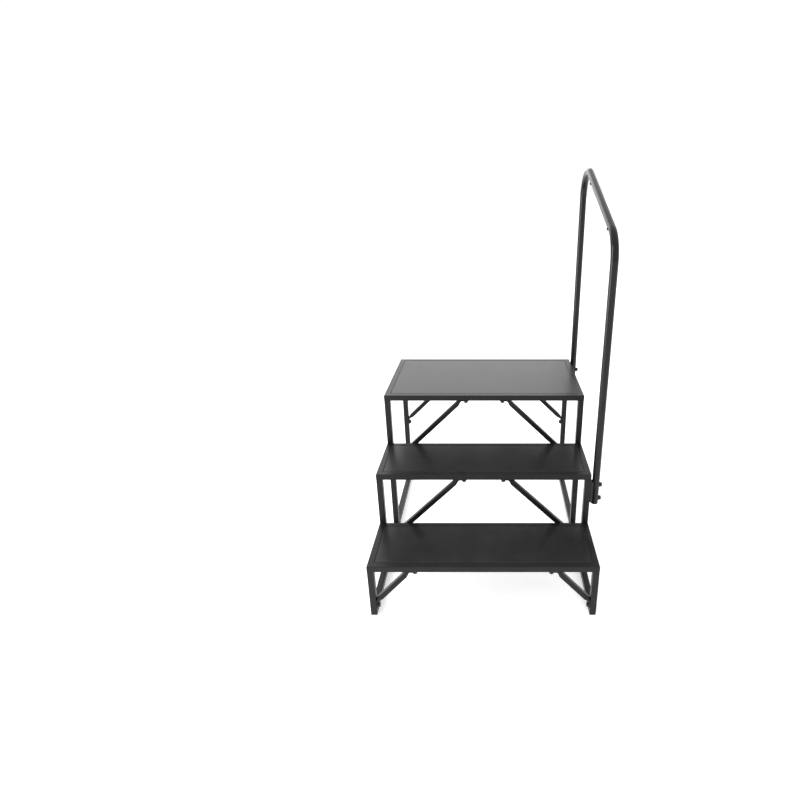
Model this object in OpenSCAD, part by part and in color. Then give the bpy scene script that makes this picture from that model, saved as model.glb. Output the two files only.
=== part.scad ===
/* [Steps] */
// Width of every tread, side to side
step_w = 700; // [560:10:900]
// Height from one tread to the next, and from the floor to the lowest tread
rise = 185; // [150:1:230]
// Depth of the lower and middle treads, front to back
tread_d = 226; // [180:1:300]
// Depth of the upper tread that the rider mounts from
top_d = 408; // [320:1:520]

/* [Frame tube] */
// Outside width of the square steel tube
tube = 20; // [18:1:24]
// Wall of the square tube
tube_wall = 1.5; // [1:0.1:2.5]
// Outside corner radius of the square tube
tube_corner = 1.6; // [1:0.1:3]

/* [Tread panels] */
// Thickness of the sheet steel panel
panel_t = 1.5; // [1:0.1:2.5]
// Depth of the lip folded down round the panel
panel_lip = 13; // [8:1:16]
// Gap between a panel and the tubes round it
panel_gap = 0.3; // [0.1:0.1:0.6]
// Width of the channel welded under each panel
rib_w = 40; // [25:1:60]
// Depth of that channel
rib_h = 11; // [8:1:14]
// Thickness of the channel's sheet
rib_t = 1.5; // [1:0.1:2.5]

/* [Braces] */
// Outside width of the square brace tube
brace_w = 16; // [12:0.5:17]
// Wall of the brace tube
brace_wall = 1.2; // [1:0.1:2.5]
// Outside corner radius of the brace tube
brace_corner = 1.8; // [1:0.1:3]
// Distance from the middle of the steps to a long brace's upper bolt
long_brace_x = 64; // [50:1:100]
// Drop from a tread frame's underside to a long brace's lower bolt
long_brace_drop = 262; // [220:1:280]
// Distance from a front leg to the short brace's upper bolt
short_brace_reach = 124; // [90:1:150]
// Height of the short brace's lower bolt above the floor
short_brace_foot = 33; // [28:1:45]
// Thickness of a brace's flattened end
brace_tab_t = 3; // [2.5:0.1:4]
// Width of a brace's flattened end
brace_tab_w = 18; // [14:0.5:19]
// Distance from a brace's bolt to its bend
brace_tab_bend = 18; // [14:1:24]

/* [Handrail] */
// Diameter of the handrail tube
rail_d = 24; // [20:0.5:32]
// Wall of the handrail tube
rail_wall = 1.5; // [1.2:0.1:2.5]
// Bend radius of the handrail at the middle of the tube
rail_bend_r = 95; // [60:1:120]
// Height above the middle tread where the rail and front post lines cross
rail_front_h = 735; // [600:5:900]
// Height above the upper tread where the rail and rear post lines cross
rail_rear_h = 761; // [630:1:950]
// Gap between a leg and the post beside it
post_gap = 5.5; // [3:0.5:10]
// Drop from a tread frame's underside to the post's upper bolt
bolt_drop = 22; // [22:1:40]
// Distance between the post's two bolts
post_bolt_step = 50; // [40:1:60]
// Length of the post below its lower bolt, with its end cap
post_tail = 20; // [12:1:40]
// Straight arm of the front post beyond its bend
front_arm = 27; // [26:1:60]
// Straight arm of the rear post beyond its bend
rear_arm = 100; // [40:1:140]
// Length that the joining sleeve reaches into each tube
sleeve_reach = 25; // [20:1:26]
// Distance from the rail joint back to its screw
screw_back = 15; // [10:1:18]
// Turn of the rail screws below level, towards the rider
screw_tilt = 30; // [0:5:60]

/* [Fasteners] */
// Thread diameter of the hexagon bolts
bolt_d = 8; // [6:0.5:8.5]
// Size across the flats of a bolt's head
bolt_flats = 13; // [10:0.5:14]
// Height of a bolt's head
bolt_head_h = 5.5; // [4:0.5:7]
// Outside diameter of a plain washer under a bolt's head
flat_washer_d = 16; // [14:0.5:17]
// Thickness of a plain washer
flat_washer_t = 1.6; // [1:0.1:2]
// Outside diameter of a bolt's rivet nut
rivnut_d = 11; // [10:0.5:12]
// Length of a bolt's rivet nut
rivnut_len = 11; // [8:0.5:12]
// Thread diameter of the rail screws
screw_d = 5; // [4:0.5:6]
// Head diameter of the rail screws
screw_head_d = 9; // [7:0.5:11]
// Head height of the rail screws
screw_head_h = 3; // [2:0.5:4]

/* [Feet, saddles and plugs] */
// Thickness of the foot cap under each leg
foot_t = 3; // [2:0.5:6]
// Length of a foot cap's plug inside the leg
foot_plug = 12; // [8:1:15]
// Thickness of the cap on the bottom end of a post
cap_t = 3; // [2:0.5:5]
// Width of the bar that holds a round post off its square leg
saddle_w = 20; // [16:1:24]
// How far that bar wraps round the post
saddle_wrap = 3; // [1:0.5:4]
// Length of that bar beyond each bolt
saddle_end = 13; // [10:1:16]
// Width of the shaped washer under a handrail bolt's head
washer_w = 12; // [10:0.5:14]
// Thickness of that washer at its middle
washer_t = 2.5; // [2:0.5:4]
// Length of the spigots that locate the legs under the treads
spigot_len = 14; // [10:1:14]
// Length of the threaded plugs in the side tubes' rear ends
link_plug_len = 20; // [15:1:30]

/* [Fits] */
// Clearance each side of a plug, spigot or sleeve in its tube
plug_clear = 0.1; // [0.05:0.05:0.3]
// Clearance round a bolt in a plain hole
bolt_clear = 0.25; // [0.1:0.05:0.5]
// Clearance round a thread in its nut
thread_clear = 0.05; // [0.02:0.01:0.1]

/* [Hidden] */
$fn = 48;
LOWER = 0;
MIDDLE = 1;
UPPER = 2;
REAR = 3;
LEFT = -1;
RIGHT = 1;
function tier_y(i) = i * tread_d;
function tier_d(i) = i == UPPER ? top_d : tread_d;
function tier_z(i) = (i + 1) * rise;
function under_z(i) = tier_z(i) - tube;
depth = 2 * tread_d + top_d;
half_w = step_w / 2;
leg_x = half_w - tube / 2;
leg_face = half_w - tube;
bore_w = tube - 2 * tube_wall;
plug_w = bore_w - 2 * plug_clear;
inner_corner = max(tube_corner - tube_wall, tube_corner / 4);
past = 1;
// Loss of the handrail tube's wall on each side where it is bent
bend_thin = 0.01;
// Turn of a bend that lies inside the straight at each end
bend_lap = 0.2;
// Width of a bolt's hexagon recess, as a share of its thread
hex_share = 0.75;
// How much wider a rivet nut's crushed collar is than its barrel
rivnut_bulge = 2;
// The rear legs stand under the back of the upper tread
function leg_y(i) = i == REAR ? depth - tube / 2 : tier_y(i) + tube / 2;
function leg_top(i) = under_z(min(i, UPPER));
function brace_drop(i) = i == LOWER ? under_z(LOWER) - short_brace_foot : long_brace_drop;
function brace_x(i) = i == LOWER ? leg_face - short_brace_reach : long_brace_x;
function brace_bolt_z(i) = leg_top(i) - brace_drop(i);
// A post stands beside the middle leg and beside the rear leg
function has_post(side, i) = side == RIGHT && (i == MIDDLE || i == REAR);
function post_bolts(i) = [for (k = [0, 1]) leg_top(i) - bolt_drop - k * post_bolt_step];
function post_foot(i) = leg_top(i) - bolt_drop - post_bolt_step - post_tail;
post_x = half_w + post_gap + rail_d / 2;
washer_x = post_x + rail_d / 2 + washer_t;
centre_x = (washer_x + bolt_head_h - half_w) / 2;
centre_y = (leg_y(REAR) + max(tube, rail_d) / 2) / 2;
front_corner = [leg_y(MIDDLE), tier_z(MIDDLE) + rail_front_h];
rear_corner = [leg_y(REAR), tier_z(UPPER) + rail_rear_h];
rail_run = rear_corner - front_corner;
rail_slope = atan2(rail_run[1], rail_run[0]);
rail_dir = [cos(rail_slope), sin(rail_slope)];
front_tangent = rail_bend_r * tan((90 - rail_slope) / 2);
rear_tangent = rail_bend_r * tan((90 + rail_slope) / 2);
front_joint = front_corner + (front_tangent + front_arm) * rail_dir;
rear_joint = rear_corner - (rear_tangent + rear_arm) * rail_dir;
rail_bore = rail_d - 2 * rail_wall;
sleeve_d = rail_bore - 2 * plug_clear;
steel_black = [0.13, 0.13, 0.135];
panel_black = [0.2, 0.2, 0.205];
rail_black = [0.16, 0.16, 0.165];
bolt_black = [0.06, 0.06, 0.065];
cap_black = [0.09, 0.09, 0.09];
bare_steel = [0.55, 0.55, 0.56];

// Sets the steps so that the origin is under the middle of the whole object
module placed() {
    translate([-centre_x, -centre_y, 0])
        children();
}

// Outline of a square with round corners, centred
module rounded_square(size, r) {
    flat = size - 2 * r;
    square([flat, size], center = true);
    square([size, flat], center = true);
    for (x = [-flat / 2, flat / 2], y = [-flat / 2, flat / 2])
        translate([x, y])
            circle(r);
}

// Square tube standing on the XY plane
module square_tube(length, width, wall, corner) {
    difference() {
        linear_extrude(length)
            rounded_square(width, corner);
        translate([0, 0, -past])
            linear_extrude(length + 2 * past)
                rounded_square(width - 2 * wall, max(corner - wall, corner / 4));
    }
}

// Length of the frame's square tube
module frame_tube(length) {
    square_tube(length, tube, tube_wall, tube_corner);
}

// Plug that fills the bore of a square tube, standing on the XY plane
module square_plug(length) {
    linear_extrude(length)
        rounded_square(plug_w, inner_corner);
}

// Turns what stands along +Z to lie along +X
module along_x() {
    rotate([90, 0, 90])
        children();
}

// Turns what stands along +Z to lie along +Y
module along_y() {
    rotate([-90, 0, 0])
        children();
}

// Drill of the given width, centred, through a length along Z
module drill(d, length) {
    cylinder(d = d, h = length, center = true);
}

// Cuts away what lies beyond an upright plane through a corner, facing the given angle
module corner_cut(x, y, angle) {
    reach = 4 * tube;
    translate([x, y, 0])
        rotate([0, 0, angle])
            translate([0, -reach / 2, -reach / 2])
                cube(reach);
}

// Cross tube as wide as the steps, mitred at both ends, with nut holes underneath
module mitred_cross_tube(nut_x, outer) {
    difference() {
        translate([-half_w, 0, 0])
            along_x()
                frame_tube(step_w);
        for (side = [LEFT, RIGHT]) {
            corner_cut(side * half_w, outer * tube / 2, side == RIGHT ? -outer * 45 : 180 + outer * 45);
            translate([side * nut_x, 0, -tube / 2])
                drill(rivnut_d, 2 * tube_wall + past);
        }
    }
}

module tread_front_tube(i) {
    placed()
        color(steel_black)
            translate([0, tier_y(i) + tube / 2, tier_z(i) - tube / 2])
                mitred_cross_tube(brace_x(i), -1);
}

// The lower and middle rear tubes fit between the side tubes, and the upper one is mitred
module tread_rear_tube(i) {
    placed()
        color(steel_black)
            translate([0, tier_y(i) + tier_d(i) - tube / 2, tier_z(i) - tube / 2])
                if (i == UPPER)
                    mitred_cross_tube(brace_x(i), 1);
                else
                    translate([-leg_face, 0, 0])
                        along_x()
                            frame_tube(2 * leg_face);
}

module tread_side_tube(i, side) {
    placed()
        color(steel_black)
            translate([0, tier_y(i), tier_z(i) - tube / 2])
                difference() {
                    translate([side * leg_x, 0, 0])
                        along_y()
                            frame_tube(tier_d(i));
                    corner_cut(side * half_w, 0, side == RIGHT ? -135 : -45);
                    if (i == UPPER)
                        corner_cut(side * half_w, tier_d(i), side == RIGHT ? 135 : 45);
                }
}

// Sheet steel tray, flush with the frame's top, with its edges folded down
module tread_panel(i) {
    w = 2 * (leg_face - panel_gap);
    d = tier_d(i) - 2 * (tube + panel_gap);
    placed()
        color(panel_black)
            translate([-w / 2, tier_y(i) + tube + panel_gap, tier_z(i) - panel_lip])
                difference() {
                    cube([w, d, panel_lip]);
                    translate([panel_t, panel_t, -past])
                        cube([w - 2 * panel_t, d - 2 * panel_t, panel_lip - panel_t + past]);
                }
}

// Channel under the middle of a panel, open upwards, between the folded lips
module tread_rib(i) {
    d = tier_d(i) - 2 * (tube + panel_gap + panel_t);
    placed()
        color(steel_black)
            translate([-rib_w / 2, tier_y(i) + tube + panel_gap + panel_t, tier_z(i) - panel_t - rib_h])
                difference() {
                    cube([rib_w, d, rib_h]);
                    translate([rib_t, -past, rib_t])
                        cube([rib_w - 2 * rib_t, d + 2 * past, rib_h]);
                }
}

// Leg from its foot cap to the tread frame, with the holes for what is bolted to it
module leg(side, i) {
    placed()
        color(steel_black)
            difference() {
                translate([side * leg_x, leg_y(i), foot_t])
                    frame_tube(leg_top(i) - foot_t);
                translate([side * leg_face, leg_y(i), brace_bolt_z(i)])
                    along_x()
                        drill(rivnut_d, 2 * tube_wall + past);
                if (i == MIDDLE || i == UPPER)
                    translate([side * leg_x, leg_y(i), tier_z(i - 1) - tube / 2])
                        along_y()
                            drill(bolt_d + 2 * bolt_clear, tube + 2 * past);
                if (has_post(side, i))
                    for (z = post_bolts(i))
                        translate([side * half_w, leg_y(i), z])
                            along_x()
                                drill(rivnut_d, 2 * tube_wall + past);
            }
}

// Rail on the floor between two neighbouring legs
module ground_rail(side, i) {
    start = leg_y(i) + tube / 2;
    placed()
        color(steel_black)
            translate([side * leg_x, start, foot_t + tube / 2])
                along_y()
                    frame_tube(leg_y(i + 1) - tube / 2 - start);
}

// Side outline of a brace's two bent tabs and the necks that run into its tube
module brace_tabs(drop, low, high, angle, neck) {
    tab_end = brace_tab_w / 2;
    translate([high[0], -brace_tab_t])
        square([brace_tab_bend + tab_end, brace_tab_t]);
    translate([0, -drop - tab_end])
        square([brace_tab_t, brace_tab_bend + tab_end]);
    for (end = [[low, angle], [high, angle + 180]])
        translate(end[0])
            rotate(end[1]) {
                circle(brace_tab_t / 2);
                translate([0, -brace_tab_t / 2])
                    square([neck, brace_tab_t]);
            }
}

// Brace from the leg's inner face at x = 0 up to the tread frame's underside at z = 0
module brace_shape(reach, drop) {
    low = [brace_tab_t / 2, brace_tab_bend - drop];
    high = [reach - brace_tab_bend, -brace_tab_t / 2];
    run = high - low;
    angle = atan2(run[1], run[0]);
    end_gap = brace_w / 2 + brace_tab_t;
    neck = 2 * end_gap;
    difference() {
        union() {
            rotate([90, 0, 0])
                linear_extrude(brace_tab_w, center = true)
                    brace_tabs(drop, low, high, angle, neck);
            translate([low[0], 0, low[1]])
                rotate([0, 90 - angle, 0])
                    translate([0, 0, end_gap])
                        square_tube(norm(run) - 2 * end_gap, brace_w, brace_wall, brace_corner);
        }
        translate([reach, 0, 0])
            drill(bolt_d + 2 * bolt_clear, 4 * brace_tab_t);
        translate([0, 0, -drop])
            along_x()
                drill(bolt_d + 2 * bolt_clear, 4 * brace_tab_t);
    }
}

// Mirrors the left side's pieces for the right side
module on_side(side) {
    mirror([side == RIGHT ? 1 : 0, 0, 0])
        translate([-leg_face, 0, 0])
            children();
}

module brace(side, i) {
    placed()
        color(bolt_black)
            on_side(side)
                translate([0, leg_y(i), leg_top(i)])
                    brace_shape(leg_face - brace_x(i), brace_drop(i));
}

// Dome of the given width and height standing on the XY plane
module dome(d, h) {
    r = (d * d / 4 + h * h) / (2 * h);
    intersection() {
        translate([0, 0, h - r])
            sphere(r);
        cylinder(d = d, h = h);
    }
}

// Button head screw, its shank up along +Z and its head below
module button_screw(shank) {
    difference() {
        union() {
            cylinder(d = screw_d, h = shank);
            mirror([0, 0, 1])
                dome(screw_head_d, screw_head_h);
        }
        translate([0, 0, -screw_head_h - past])
            cylinder(d = hex_share * screw_d, h = screw_head_h / 2 + past, $fn = 6);
    }
}

// Hexagon bolt, its shank up along +Z and its head below
module hex_bolt(shank) {
    cylinder(d = bolt_d, h = shank);
    translate([0, 0, -bolt_head_h])
        cylinder(d = bolt_flats / cos(30), h = bolt_head_h, $fn = 6);
}

// Plain washer below the XY plane
module flat_washer() {
    translate([0, 0, -flat_washer_t])
        difference() {
            cylinder(d = flat_washer_d, h = flat_washer_t);
            drill(bolt_d + 2 * bolt_clear, 4 * flat_washer_t);
        }
}

// Rivet nut whose face is level with the tube it is set in, bulged behind the wall
module rivet_nut() {
    difference() {
        union() {
            cylinder(d = rivnut_d, h = rivnut_len);
            translate([0, 0, tube_wall])
                cylinder(d = rivnut_d + rivnut_bulge, h = 2 * tube_wall);
        }
        drill(bolt_d + 2 * thread_clear, 2 * rivnut_len + past);
    }
}

// Places children at every brace's upper bolt, under the tread frame
module at_tread_bolts() {
    for (side = [LEFT, RIGHT], i = [LOWER, MIDDLE, UPPER, REAR])
        translate([side * brace_x(i), leg_y(i), leg_top(i)])
            children();
}

// Places children at every brace's lower bolt, pointing into the leg
module at_leg_bolts() {
    for (side = [LEFT, RIGHT], i = [LOWER, MIDDLE, UPPER, REAR])
        translate([side * leg_face, leg_y(i), brace_bolt_z(i)])
            rotate([0, side * 90, 0])
                children();
}

module brace_bolts() {
    seat = brace_tab_t + flat_washer_t;
    placed()
        color(bolt_black) {
            at_tread_bolts()
                translate([0, 0, -seat])
                    hex_bolt(seat + rivnut_len);
            at_leg_bolts()
                translate([0, 0, -seat])
                    hex_bolt(seat + rivnut_len);
        }
}

// Plain washers under the heads of the brace and link bolts
module flat_washers() {
    placed()
        color(bolt_black) {
            at_tread_bolts()
                translate([0, 0, -brace_tab_t])
                    flat_washer();
            at_leg_bolts()
                translate([0, 0, -brace_tab_t])
                    flat_washer();
            at_link_heads()
                flat_washer();
        }
}

// Rivet nuts in the tread frames and legs for the brace and handrail bolts
module rivet_nuts() {
    placed()
        color(bare_steel) {
            at_tread_bolts()
                rivet_nut();
            at_leg_bolts()
                rivet_nut();
            for (i = [MIDDLE, REAR], z = post_bolts(i))
                translate([half_w, leg_y(i), z])
                    rotate([0, -90, 0])
                        rivet_nut();
        }
}

// Short spigots under the tread frames that the legs push up onto
module leg_spigots() {
    placed()
        color(bare_steel)
            for (side = [LEFT, RIGHT], i = [LOWER, MIDDLE, UPPER, REAR])
                translate([side * leg_x, leg_y(i), leg_top(i) - spigot_len])
                    square_plug(spigot_len);
}

// Places children at the rear ends of the lower and middle side tubes
module at_links() {
    for (side = [LEFT, RIGHT], i = [LOWER, MIDDLE])
        translate([side * leg_x, tier_y(i + 1), tier_z(i) - tube / 2])
            children();
}

// Threaded plugs in the side tubes that the next tier's legs are bolted to
module link_plugs() {
    placed()
        color(bare_steel)
            at_links()
                translate([0, -link_plug_len, 0])
                    along_y()
                        difference() {
                            square_plug(link_plug_len);
                            drill(bolt_d + 2 * thread_clear, 2 * link_plug_len + past);
                        }
}

// Places children on the rear faces of the linked legs, pointing forwards
module at_link_heads() {
    at_links()
        translate([0, tube, 0])
            rotate([90, 0, 0])
                children();
}

module link_bolts() {
    placed()
        color(bolt_black)
            at_link_heads()
                translate([0, 0, -flat_washer_t])
                    hex_bolt(flat_washer_t + tube + link_plug_len);
}

// Plastic caps plugged into the feet of one side's legs
module foot_caps(side) {
    placed()
        color(cap_black)
            for (i = [LOWER, MIDDLE, UPPER, REAR])
                translate([side * leg_x, leg_y(i), 0]) {
                    linear_extrude(foot_t)
                        rounded_square(tube, tube_corner);
                    translate([0, 0, foot_t])
                        square_plug(foot_plug);
                }
}

// Puts a drawing whose x is along the steps and whose y is up into the handrail's plane
module in_rail_plane() {
    translate([post_x, 0, 0])
        along_x()
            children();
}

// Straight rod in the handrail's plane from a point, at an angle
module rail_rod(from, angle, length, d) {
    translate(from)
        rotate([0, 0, angle])
            rotate([0, 90, 0])
                cylinder(d = d, h = length);
}

// Section of the handrail tube, out at its bend radius, its wall thinned on each side
module rail_section(thin) {
    translate([rail_bend_r, 0])
        difference() {
            circle(d = rail_d - 2 * thin);
            circle(d = rail_bore + 2 * thin);
        }
}

// Tube up a post, round a bend to the left and on along an arm, centred on the bend
module bent_tube(turn, post_len, arm_len) {
    rotate([0, 0, -bend_lap])
        rotate_extrude(angle = turn + 2 * bend_lap)
            rail_section(bend_thin);
    rotate([90, 0, 0])
        linear_extrude(post_len)
            rail_section(0);
    rotate([0, 0, turn])
        rotate([-90, 0, 0])
            linear_extrude(arm_len)
                rail_section(0);
}

module front_post_tube() {
    bend_z = front_corner[1] - front_tangent;
    translate([front_corner[0] + rail_bend_r, bend_z, 0])
        mirror([1, 0, 0])
            bent_tube(90 - rail_slope, bend_z - post_foot(MIDDLE) - cap_t, front_arm);
}

module rear_post_tube() {
    bend_z = rear_corner[1] - rear_tangent;
    translate([rear_corner[0] - rail_bend_r, bend_z, 0])
        bent_tube(90 + rail_slope, bend_z - post_foot(REAR) - cap_t, rear_arm);
}

// Holes for a post's two bolts, across the handrail's plane
module post_holes(i) {
    for (z = post_bolts(i))
        translate([leg_y(i), z, 0])
            drill(bolt_d + 2 * bolt_clear, rail_d + 2 * past);
}

// Places children at the rail screws, the axis pointing out of the tube
module at_screws() {
    for (p = [front_joint - screw_back * rail_dir, rear_joint + screw_back * rail_dir])
        in_rail_plane()
            translate(p)
                rotate([0, 0, rail_slope])
                    rotate([180 - screw_tilt, 0, 0])
                        children();
}

// Hole for a rail screw on one side of a tube
module screw_holes(d) {
    at_screws()
        cylinder(d = d, h = rail_d);
}

module handrail_front_post() {
    placed()
        color(rail_black)
            difference() {
                in_rail_plane()
                    difference() {
                        front_post_tube();
                        post_holes(MIDDLE);
                    }
                screw_holes(screw_d + 2 * bolt_clear);
            }
}

module handrail_rear_post() {
    placed()
        color(rail_black)
            difference() {
                in_rail_plane()
                    difference() {
                        rear_post_tube();
                        post_holes(REAR);
                    }
                screw_holes(screw_d + 2 * bolt_clear);
            }
}

module handrail_top_rail() {
    length = norm(rear_joint - front_joint);
    placed()
        color(rail_black)
            in_rail_plane()
                difference() {
                    rail_rod(front_joint, rail_slope, length, rail_d);
                    rail_rod(front_joint - past * rail_dir, rail_slope, length + 2 * past, rail_bore);
                }
}

// Sleeve inside the two tubes that meet at a rail joint, tapped for the screw
module rail_sleeve(joint) {
    placed()
        color(bare_steel)
            difference() {
                in_rail_plane()
                    difference() {
                        rail_rod(joint - sleeve_reach * rail_dir, rail_slope, 2 * sleeve_reach, sleeve_d);
                        rail_rod(joint - (sleeve_reach + past) * rail_dir, rail_slope,
                            2 * (sleeve_reach + past), sleeve_d - 2 * rail_wall);
                    }
                screw_holes(screw_d + 2 * thread_clear);
            }
}

module handrail_screws() {
    shank = 2 * rail_wall + plug_clear + past;
    placed()
        color(bolt_black)
            at_screws()
                translate([0, 0, rail_d / 2])
                    mirror([0, 0, 1])
                        button_screw(shank);
}

// Bars that hold the round posts off the square legs, hollowed to the post
module handrail_saddles() {
    span = post_bolt_step + 2 * saddle_end;
    placed()
        color(cap_black)
            for (i = [MIDDLE, REAR])
                difference() {
                    translate([half_w, leg_y(i) - saddle_w / 2, post_bolts(i)[1] - saddle_end])
                        cube([post_gap + saddle_wrap, saddle_w, span]);
                    translate([post_x, leg_y(i), post_bolts(i)[1]])
                        drill(rail_d, 2 * span);
                    for (z = post_bolts(i))
                        translate([half_w, leg_y(i), z])
                            along_x()
                                drill(bolt_d + 2 * bolt_clear, rail_d);
                }
}

// Shaped washers between the handrail bolts' heads and the round posts
module handrail_washers() {
    edge = post_x + rail_d / 2 - saddle_wrap;
    placed()
        color(cap_black)
            for (i = [MIDDLE, REAR], z = post_bolts(i))
                difference() {
                    translate([edge, leg_y(i) - washer_w / 2, z - washer_w / 2])
                        cube([washer_x - edge, washer_w, washer_w]);
                    translate([post_x, leg_y(i), z])
                        drill(rail_d, 2 * washer_w);
                    translate([washer_x, leg_y(i), z])
                        along_x()
                            drill(bolt_d + 2 * bolt_clear, rail_d);
                }
}

module handrail_bolts() {
    placed()
        color(bolt_black)
            for (i = [MIDDLE, REAR], z = post_bolts(i))
                translate([washer_x, leg_y(i), z])
                    rotate([0, -90, 0])
                        hex_bolt(washer_x - half_w + rivnut_len);
}

// Plastic caps plugged into the bottom ends of the posts
module handrail_end_caps() {
    placed()
        color(cap_black)
            for (i = [MIDDLE, REAR])
                translate([post_x, leg_y(i), post_foot(i)]) {
                    cylinder(d = rail_d, h = cap_t);
                    cylinder(d = sleeve_d, h = cap_t + post_tail / 4);
                }
}

tread_front_tube(LOWER);  // tread_lower_front_tube
tread_rear_tube(LOWER);  // tread_lower_rear_tube
tread_side_tube(LOWER, LEFT);  // tread_lower_left_tube
tread_side_tube(LOWER, RIGHT);  // tread_lower_right_tube
tread_panel(LOWER);  // tread_lower_panel
tread_rib(LOWER);  // tread_lower_rib
tread_front_tube(MIDDLE);  // tread_middle_front_tube
tread_rear_tube(MIDDLE);  // tread_middle_rear_tube
tread_side_tube(MIDDLE, LEFT);  // tread_middle_left_tube
tread_side_tube(MIDDLE, RIGHT);  // tread_middle_right_tube
tread_panel(MIDDLE);  // tread_middle_panel
tread_rib(MIDDLE);  // tread_middle_rib
tread_front_tube(UPPER);  // tread_upper_front_tube
tread_rear_tube(UPPER);  // tread_upper_rear_tube
tread_side_tube(UPPER, LEFT);  // tread_upper_left_tube
tread_side_tube(UPPER, RIGHT);  // tread_upper_right_tube
tread_panel(UPPER);  // tread_upper_panel
tread_rib(UPPER);  // tread_upper_rib
leg(LEFT, LOWER);  // leg_lower_left
leg(RIGHT, LOWER);  // leg_lower_right
leg(LEFT, MIDDLE);  // leg_middle_left
leg(RIGHT, MIDDLE);  // leg_middle_right
leg(LEFT, UPPER);  // leg_upper_left
leg(RIGHT, UPPER);  // leg_upper_right
leg(LEFT, REAR);  // leg_rear_left
leg(RIGHT, REAR);  // leg_rear_right
ground_rail(LEFT, LOWER);  // ground_rail_front_left
ground_rail(RIGHT, LOWER);  // ground_rail_front_right
ground_rail(LEFT, MIDDLE);  // ground_rail_middle_left
ground_rail(RIGHT, MIDDLE);  // ground_rail_middle_right
ground_rail(LEFT, UPPER);  // ground_rail_rear_left
ground_rail(RIGHT, UPPER);  // ground_rail_rear_right
brace(LEFT, LOWER);  // brace_lower_left
brace(RIGHT, LOWER);  // brace_lower_right
brace(LEFT, MIDDLE);  // brace_middle_left
brace(RIGHT, MIDDLE);  // brace_middle_right
brace(LEFT, UPPER);  // brace_upper_left
brace(RIGHT, UPPER);  // brace_upper_right
brace(LEFT, REAR);  // brace_rear_left
brace(RIGHT, REAR);  // brace_rear_right
brace_bolts();
flat_washers();
rivet_nuts();
leg_spigots();
link_plugs();
link_bolts();
foot_caps(LEFT);  // foot_caps_left
foot_caps(RIGHT);  // foot_caps_right
handrail_front_post();
handrail_top_rail();
handrail_rear_post();
rail_sleeve(front_joint);  // handrail_front_sleeve
rail_sleeve(rear_joint);  // handrail_rear_sleeve
handrail_screws();
handrail_saddles();
handrail_washers();
handrail_bolts();
handrail_end_caps();
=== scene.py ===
import math

import bmesh
import bpy
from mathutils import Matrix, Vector


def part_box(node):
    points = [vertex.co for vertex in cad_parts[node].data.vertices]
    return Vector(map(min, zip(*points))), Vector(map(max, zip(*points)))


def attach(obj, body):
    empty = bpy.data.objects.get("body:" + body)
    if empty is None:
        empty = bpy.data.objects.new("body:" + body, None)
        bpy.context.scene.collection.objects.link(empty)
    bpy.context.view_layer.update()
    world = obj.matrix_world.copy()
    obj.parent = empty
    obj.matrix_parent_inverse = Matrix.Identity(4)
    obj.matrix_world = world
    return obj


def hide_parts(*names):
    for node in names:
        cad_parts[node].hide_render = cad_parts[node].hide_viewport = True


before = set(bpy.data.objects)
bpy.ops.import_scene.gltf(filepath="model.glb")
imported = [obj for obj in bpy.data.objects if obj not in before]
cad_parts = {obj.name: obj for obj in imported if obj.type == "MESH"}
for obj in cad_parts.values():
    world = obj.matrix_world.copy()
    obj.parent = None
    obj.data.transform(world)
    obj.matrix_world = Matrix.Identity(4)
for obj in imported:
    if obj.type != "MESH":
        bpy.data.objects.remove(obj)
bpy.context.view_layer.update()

# The studio. A pale lit floor under a plain white sky, with one wide softbox behind the steps
# for the treads to mirror, a tall one on the left, and the camera at a rider's eye height.
EYE = (-0.0008, -1.77045, 1.2776)
EYE_TILT = math.radians(67.58)
LENS = 24.92
LENS_SHIFT = -0.1115
FILM_WIDTH = 36
FLOOR_SIZE = 60
FLOOR_TONE = 0.93
FLOOR_GLOW = 0.5
SKY_GLOW = 1.02

scene = bpy.context.scene
scene.view_settings.view_transform = "Standard"

bpy.ops.object.camera_add(location=EYE, rotation=(EYE_TILT, 0, 0))
camera = bpy.context.object
camera.data.lens = LENS
camera.data.sensor_width = FILM_WIDTH
camera.data.shift_x = LENS_SHIFT
scene.camera = camera

bpy.ops.object.select_all(action="DESELECT")
bpy.ops.mesh.primitive_plane_add(size=FLOOR_SIZE)
floor = bpy.context.object
floor.name = "studio_floor"
floor_paint = bpy.data.materials.new("pale_floor")
floor_paint.use_nodes = True
floor_face = floor_paint.node_tree.nodes["Principled BSDF"]
floor_face.inputs["Base Color"].default_value = (FLOOR_TONE, FLOOR_TONE, FLOOR_TONE, 1)
floor_face.inputs["Roughness"].default_value = 0.9
floor_face.inputs["Specular IOR Level"].default_value = 0.1
floor_face.inputs["Emission Color"].default_value = (1, 1, 1, 1)
floor_face.inputs["Emission Strength"].default_value = FLOOR_GLOW
floor.data.materials.append(floor_paint)

sky = bpy.data.worlds.new("white_studio")
sky.use_nodes = True
sky.node_tree.nodes["Background"].inputs["Color"].default_value = (1, 1, 1, 1)
sky.node_tree.nodes["Background"].inputs["Strength"].default_value = SKY_GLOW
scene.world = sky


def softbox(name, place, aim, width, height, power):
    """A rectangular area light at a place, turned towards a point."""
    place = Vector(place)
    turn = (Vector(aim) - place).to_track_quat("-Z", "Y").to_euler()
    bpy.ops.object.light_add(type="AREA", location=place, rotation=turn)
    lamp = bpy.context.object
    lamp.name = name
    lamp.data.shape = "RECTANGLE"
    lamp.data.size = width
    lamp.data.size_y = height
    lamp.data.energy = power


softbox("back_softbox", place=(-1.4, 4.2, 2.6), aim=(0, 0, 0.5), width=5.4, height=2.4, power=63)
softbox("left_softbox", place=(-2.3, -0.6, 1.3), aim=(0.3, -0.2, 0.9), width=1.0, height=2.4, power=65)

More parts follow.
